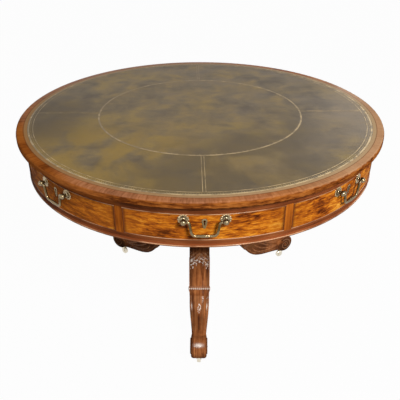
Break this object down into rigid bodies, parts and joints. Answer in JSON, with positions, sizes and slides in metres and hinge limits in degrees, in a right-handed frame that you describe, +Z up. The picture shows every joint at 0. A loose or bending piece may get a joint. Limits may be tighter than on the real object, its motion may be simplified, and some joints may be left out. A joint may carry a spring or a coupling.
{
  "type": "drum table",
  "caption": "Round revolving drum table with a leather-lined top, curved frieze drawers with swan-neck handles, and a tripod base of scrolled legs on castors.",
  "frame": {"origin": "on the floor under the pivot axis", "axes": "+Z up along the pivot, -Y out of the front drawer, +X to its right"},
  "size_m": [1.2, 1.2, 0.76],
  "materials": {
    "mahogany": "french polished",
    "mahogany_dark": "french polished",
    "flame_mahogany": "french polished",
    "crossband": "french polished",
    "cockbead": "french polished",
    "oak": "bare",
    "leather": "waxed, gilt tooled",
    "brass": "aged",
    "iron": "blackened"
  },
  "bodies": {
    "pedestal": {"column": "mahogany_dark", "crown_block": "mahogany_dark", "leg_front": "mahogany_dark", "leg_right": "mahogany_dark", "leg_left": "mahogany_dark", "strap_plate": "iron", "strap_screws": "iron", "bearing_plate": "iron", "pivot_spindle": "iron", "spindle_nut": "iron", "castor_sockets": "brass"},
    "drum": {"top_board": "mahogany_dark", "top_rim": "crossband", "leather_top": "leather", "upper_rail": "mahogany", "lower_rail": "mahogany", "stiles": "mahogany", "base_bead": "cockbead", "bottom_board": "oak", "drawer_guides": "oak", "pivot_hub": "oak", "bearing_bush": "iron", "dummy_fronts": "flame_mahogany", "dummy_cockbeads": "cockbead", "dummy_posts": "brass", "dummy_escutcheons": "brass"},
    "drawer_front": {"drawer_front_front": "flame_mahogany", "drawer_box_front": "oak", "cockbead_front": "cockbead", "handle_posts_front": "brass", "lock_front": "brass"},
    "bail_front": {"bail_front": "brass"},
    "drawer_right": {"drawer_front_right": "flame_mahogany", "drawer_box_right": "oak", "cockbead_right": "cockbead", "handle_posts_right": "brass", "lock_right": "brass"},
    "bail_right": {"bail_right": "brass"},
    "drawer_back": {"drawer_front_back": "flame_mahogany", "drawer_box_back": "oak", "cockbead_back": "cockbead", "handle_posts_back": "brass", "lock_back": "brass"},
    "bail_back": {"bail_back": "brass"},
    "drawer_left": {"drawer_front_left": "flame_mahogany", "drawer_box_left": "oak", "cockbead_left": "cockbead", "handle_posts_left": "brass", "lock_left": "brass"},
    "bail_left": {"bail_left": "brass"},
    "dummy_bail_1": {"dummy_bail_1": "brass"},
    "dummy_bail_2": {"dummy_bail_2": "brass"},
    "dummy_bail_3": {"dummy_bail_3": "brass"},
    "dummy_bail_4": {"dummy_bail_4": "brass"},
    "castor_front": {"castor_horn_front": "brass"},
    "wheel_front": {"castor_wheel_front": "brass"},
    "castor_right": {"castor_horn_right": "brass"},
    "wheel_right": {"castor_wheel_right": "brass"},
    "castor_left": {"castor_horn_left": "brass"},
    "wheel_left": {"castor_wheel_left": "brass"}
  },
  "joints": [
    {"name": "drum_turn", "type": "hinge", "parent": "pedestal", "child": "drum", "pos_m": [0, 0, 0.62], "axis": [0, 0, 1], "continuous": true},
    {"name": "drawer_front_slide", "type": "slide", "parent": "drum", "child": "drawer_front", "axis": [0, -1, 0], "range_m": [0, 0.24]},
    {"name": "bail_front_swing", "type": "hinge", "parent": "drawer_front", "child": "bail_front", "pos_m": [0, -0.58951, 0.697], "axis": [-1, 0, 0], "range_deg": [-8, 150]},
    {"name": "drawer_right_slide", "type": "slide", "parent": "drum", "child": "drawer_right", "axis": [1, 0, 0], "range_m": [0, 0.24]},
    {"name": "bail_right_swing", "type": "hinge", "parent": "drawer_right", "child": "bail_right", "pos_m": [0.58951, 0, 0.697], "axis": [0, -1, 0], "range_deg": [-8, 150]},
    {"name": "drawer_back_slide", "type": "slide", "parent": "drum", "child": "drawer_back", "axis": [0, 1, 0], "range_m": [0, 0.24]},
    {"name": "bail_back_swing", "type": "hinge", "parent": "drawer_back", "child": "bail_back", "pos_m": [0, 0.58951, 0.697], "axis": [1, 0, 0], "range_deg": [-8, 150]},
    {"name": "drawer_left_slide", "type": "slide", "parent": "drum", "child": "drawer_left", "axis": [-1, 0, 0], "range_m": [0, 0.24]},
    {"name": "bail_left_swing", "type": "hinge", "parent": "drawer_left", "child": "bail_left", "pos_m": [-0.58951, 0, 0.697], "axis": [0, 1, 0], "range_deg": [-8, 150]},
    {"name": "dummy_bail_1_swing", "type": "hinge", "parent": "drum", "child": "dummy_bail_1", "pos_m": [0.41685, -0.41685, 0.697], "axis": [-0.7071, -0.7071, 0], "range_deg": [-8, 150]},
    {"name": "dummy_bail_2_swing", "type": "hinge", "parent": "drum", "child": "dummy_bail_2", "pos_m": [0.41685, 0.41685, 0.697], "axis": [0.7071, -0.7071, 0], "range_deg": [-8, 150]},
    {"name": "dummy_bail_3_swing", "type": "hinge", "parent": "drum", "child": "dummy_bail_3", "pos_m": [-0.41685, 0.41685, 0.697], "axis": [0.7071, 0.7071, 0], "range_deg": [-8, 150]},
    {"name": "dummy_bail_4_swing", "type": "hinge", "parent": "drum", "child": "dummy_bail_4", "pos_m": [-0.41685, -0.41685, 0.697], "axis": [-0.7071, 0.7071, 0], "range_deg": [-8, 150]},
    {"name": "castor_front_swivel", "type": "hinge", "parent": "pedestal", "child": "castor_front", "pos_m": [-0.01225, -0.41282, 0.036], "axis": [0, 0, 1], "continuous": true},
    {"name": "wheel_front_roll", "type": "hinge", "parent": "castor_front", "child": "wheel_front", "pos_m": [-0.01132, -0.40487, 0.014], "axis": [0.9932, -0.1167, 0], "continuous": true},
    {"name": "castor_right_swivel", "type": "hinge", "parent": "pedestal", "child": "castor_right", "pos_m": [0.36364, 0.1958, 0.036], "axis": [0, 0, 1], "continuous": true},
    {"name": "wheel_right_roll", "type": "hinge", "parent": "castor_right", "child": "wheel_right", "pos_m": [0.35629, 0.19263, 0.014], "axis": [-0.3955, 0.9184, 0], "continuous": true},
    {"name": "castor_left_swivel", "type": "hinge", "parent": "pedestal", "child": "castor_left", "pos_m": [-0.33954, 0.23511, 0.036], "axis": [0, 0, 1], "continuous": true},
    {"name": "wheel_left_roll", "type": "hinge", "parent": "castor_left", "child": "wheel_left", "pos_m": [-0.33339, 0.23, 0.014], "axis": [-0.6388, -0.7694, 0], "continuous": true}
  ]
}
